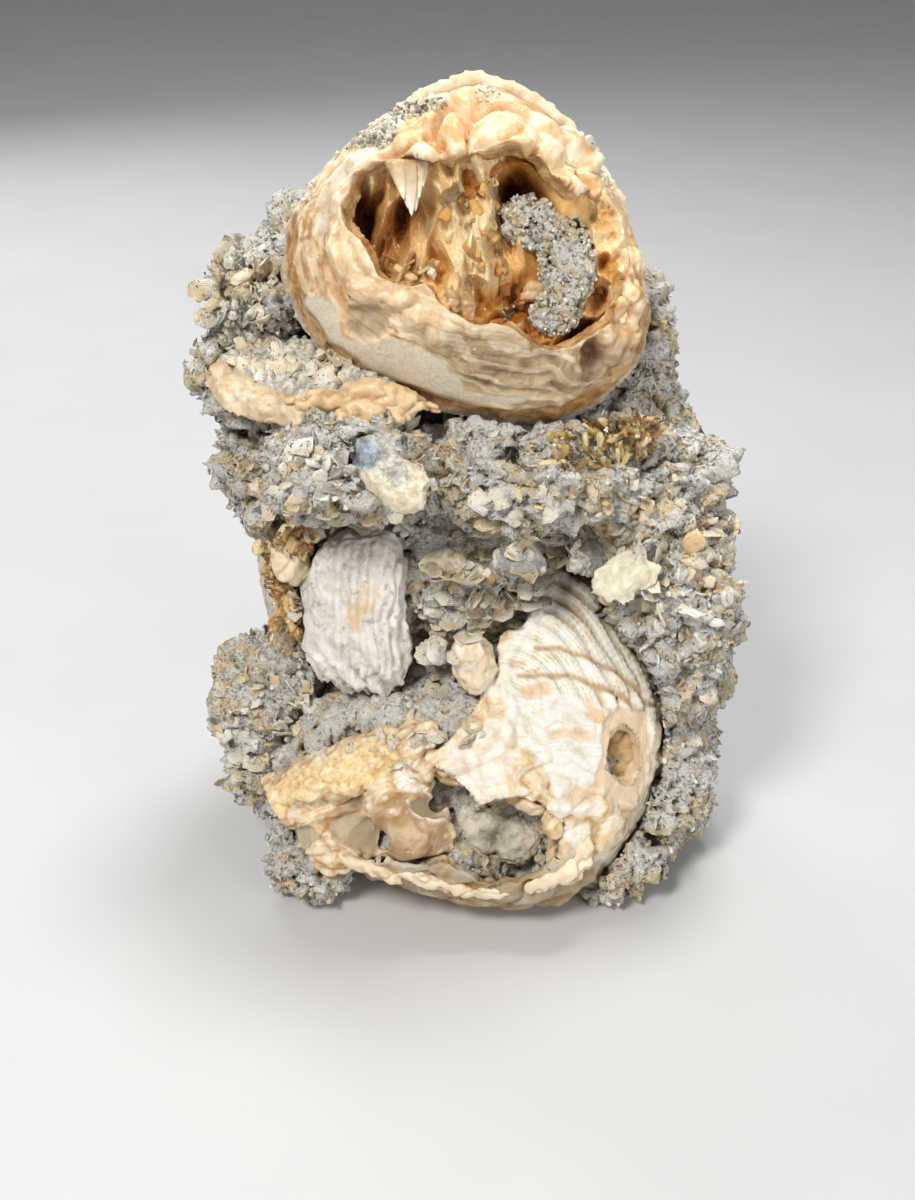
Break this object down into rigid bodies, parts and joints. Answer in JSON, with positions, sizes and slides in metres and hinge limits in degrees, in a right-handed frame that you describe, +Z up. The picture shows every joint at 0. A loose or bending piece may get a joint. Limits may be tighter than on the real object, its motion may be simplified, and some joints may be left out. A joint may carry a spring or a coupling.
{
  "type": "fossil clam",
  "caption": "Block of grey shell-hash rock with large fossil clams; the upper one is broken open on a hollow lined with honey calcite crystals.",
  "frame": {"origin": "on the flat spot under the rock that the block rests on, below the middle of the block", "axes": "+Z up along the block's height, -Y towards the broken-open front of the clams, +X to the right seen from the front"},
  "size_m": [0.1221, 0.0969, 0.1761],
  "materials": {
    "rock": "rough grey shell-hash rock",
    "sediment": "granular grey sediment",
    "cream_shell": "satin cream shell with growth bands",
    "chalky_shell": "matt chalky white shell",
    "peach_calcite": "satin peach calcite",
    "honey_calcite": "glossy translucent honey calcite",
    "slate_shell": "smooth blue-grey shell",
    "buff_shell": "flaky buff oyster shell",
    "tan_shell": "sandy tan shell"
  },
  "bodies": {
    "root": {"matrix": "rock", "upper_clam_front_valve": "cream_shell", "upper_clam_back_valve": "cream_shell", "upper_clam_crystals": "honey_calcite", "upper_clam_sand": "sediment", "lower_clam_front_valve": "chalky_shell", "lower_clam_back_valve": "cream_shell", "lower_clam_sediment": "sediment", "lower_clam_calcite": "peach_calcite", "white_valve": "chalky_shell", "left_thin_valve": "peach_calcite", "left_crystals": "honey_calcite", "pocket_crystals": "honey_calcite", "peach_shell_fragment": "peach_calcite", "blue_shell_fragment": "slate_shell", "oyster_valve": "buff_shell", "grey_shell_left": "slate_shell", "grey_shell_right": "slate_shell", "small_clam": "cream_shell", "tan_fragment": "tan_shell", "white_chip": "chalky_shell", "rear_large_valve": "chalky_shell", "rear_small_valve": "cream_shell"}
  },
  "joints": []
}
